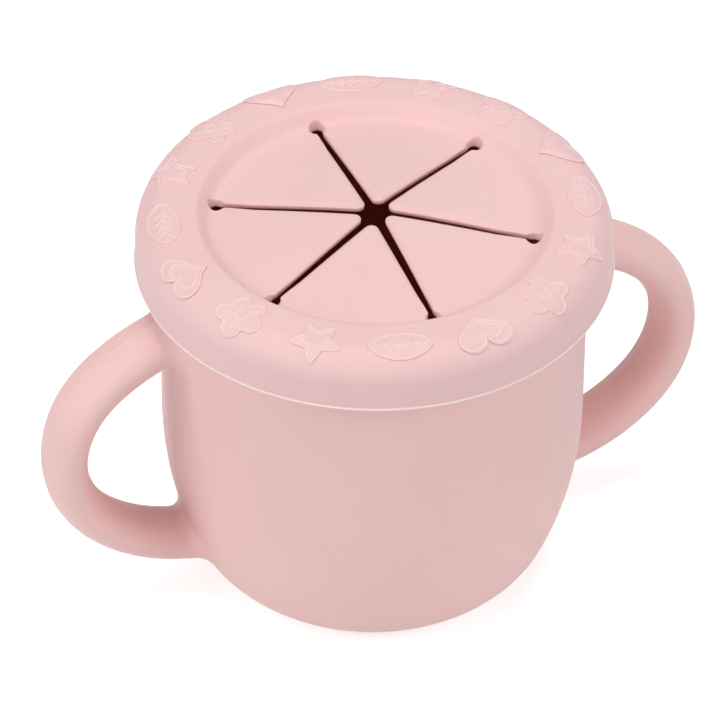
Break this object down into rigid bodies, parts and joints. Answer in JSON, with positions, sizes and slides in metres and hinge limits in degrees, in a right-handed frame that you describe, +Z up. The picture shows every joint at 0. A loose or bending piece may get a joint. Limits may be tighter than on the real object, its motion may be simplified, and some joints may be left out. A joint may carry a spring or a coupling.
{
  "type": "toddler snack cup",
  "caption": "Round silicone snack cup with two loop handles and a stretch-on lid whose centre is slit into springy flaps that a small hand pushes through.",
  "frame": {"origin": "on the table under the middle of the cup's base", "axes": "+Z up out of the cup's mouth, +X through the middle of the right-hand handle"},
  "size_m": [0.1406, 0.0952, 0.086],
  "materials": {
    "cup_silicone": "matte",
    "lid_silicone": "matte"
  },
  "bodies": {
    "cup": {"cup_body": "cup_silicone", "handle_left": "cup_silicone", "handle_right": "cup_silicone"},
    "lid": {"lid_ring": "lid_silicone"},
    "flap_1": {"lid_flap_1": "lid_silicone"},
    "flap_2": {"lid_flap_2": "lid_silicone"},
    "flap_3": {"lid_flap_3": "lid_silicone"},
    "flap_4": {"lid_flap_4": "lid_silicone"},
    "flap_5": {"lid_flap_5": "lid_silicone"},
    "flap_6": {"lid_flap_6": "lid_silicone"}
  },
  "joints": [
    {"name": "lid_lift", "type": "slide", "parent": "cup", "child": "lid", "axis": [0, 0, 1], "range_m": [0, 0.03]},
    {"name": "flap_1_bend", "type": "hinge", "parent": "lid", "child": "flap_1", "pos_m": [0.02763, 0, 0.08252], "axis": [0, -1, 0], "range_deg": [-50, 70], "stiffness_Nm_per_rad": 0.008, "springref_deg": -0.46},
    {"name": "flap_2_bend", "type": "hinge", "parent": "lid", "child": "flap_2", "pos_m": [0.01381, 0.02392, 0.08252], "axis": [0.866, -0.5, 0], "range_deg": [-50, 70], "stiffness_Nm_per_rad": 0.008, "springref_deg": -0.46},
    {"name": "flap_3_bend", "type": "hinge", "parent": "lid", "child": "flap_3", "pos_m": [-0.01381, 0.02392, 0.08252], "axis": [0.866, 0.5, 0], "range_deg": [-50, 70], "stiffness_Nm_per_rad": 0.008, "springref_deg": -0.46},
    {"name": "flap_4_bend", "type": "hinge", "parent": "lid", "child": "flap_4", "pos_m": [-0.02763, 0, 0.08252], "axis": [0, 1, 0], "range_deg": [-50, 70], "stiffness_Nm_per_rad": 0.008, "springref_deg": -0.46},
    {"name": "flap_5_bend", "type": "hinge", "parent": "lid", "child": "flap_5", "pos_m": [-0.01381, -0.02392, 0.08252], "axis": [-0.866, 0.5, 0], "range_deg": [-50, 70], "stiffness_Nm_per_rad": 0.008, "springref_deg": -0.46},
    {"name": "flap_6_bend", "type": "hinge", "parent": "lid", "child": "flap_6", "pos_m": [0.01381, -0.02392, 0.08252], "axis": [-0.866, -0.5, 0], "range_deg": [-50, 70], "stiffness_Nm_per_rad": 0.008, "springref_deg": -0.46}
  ]
}
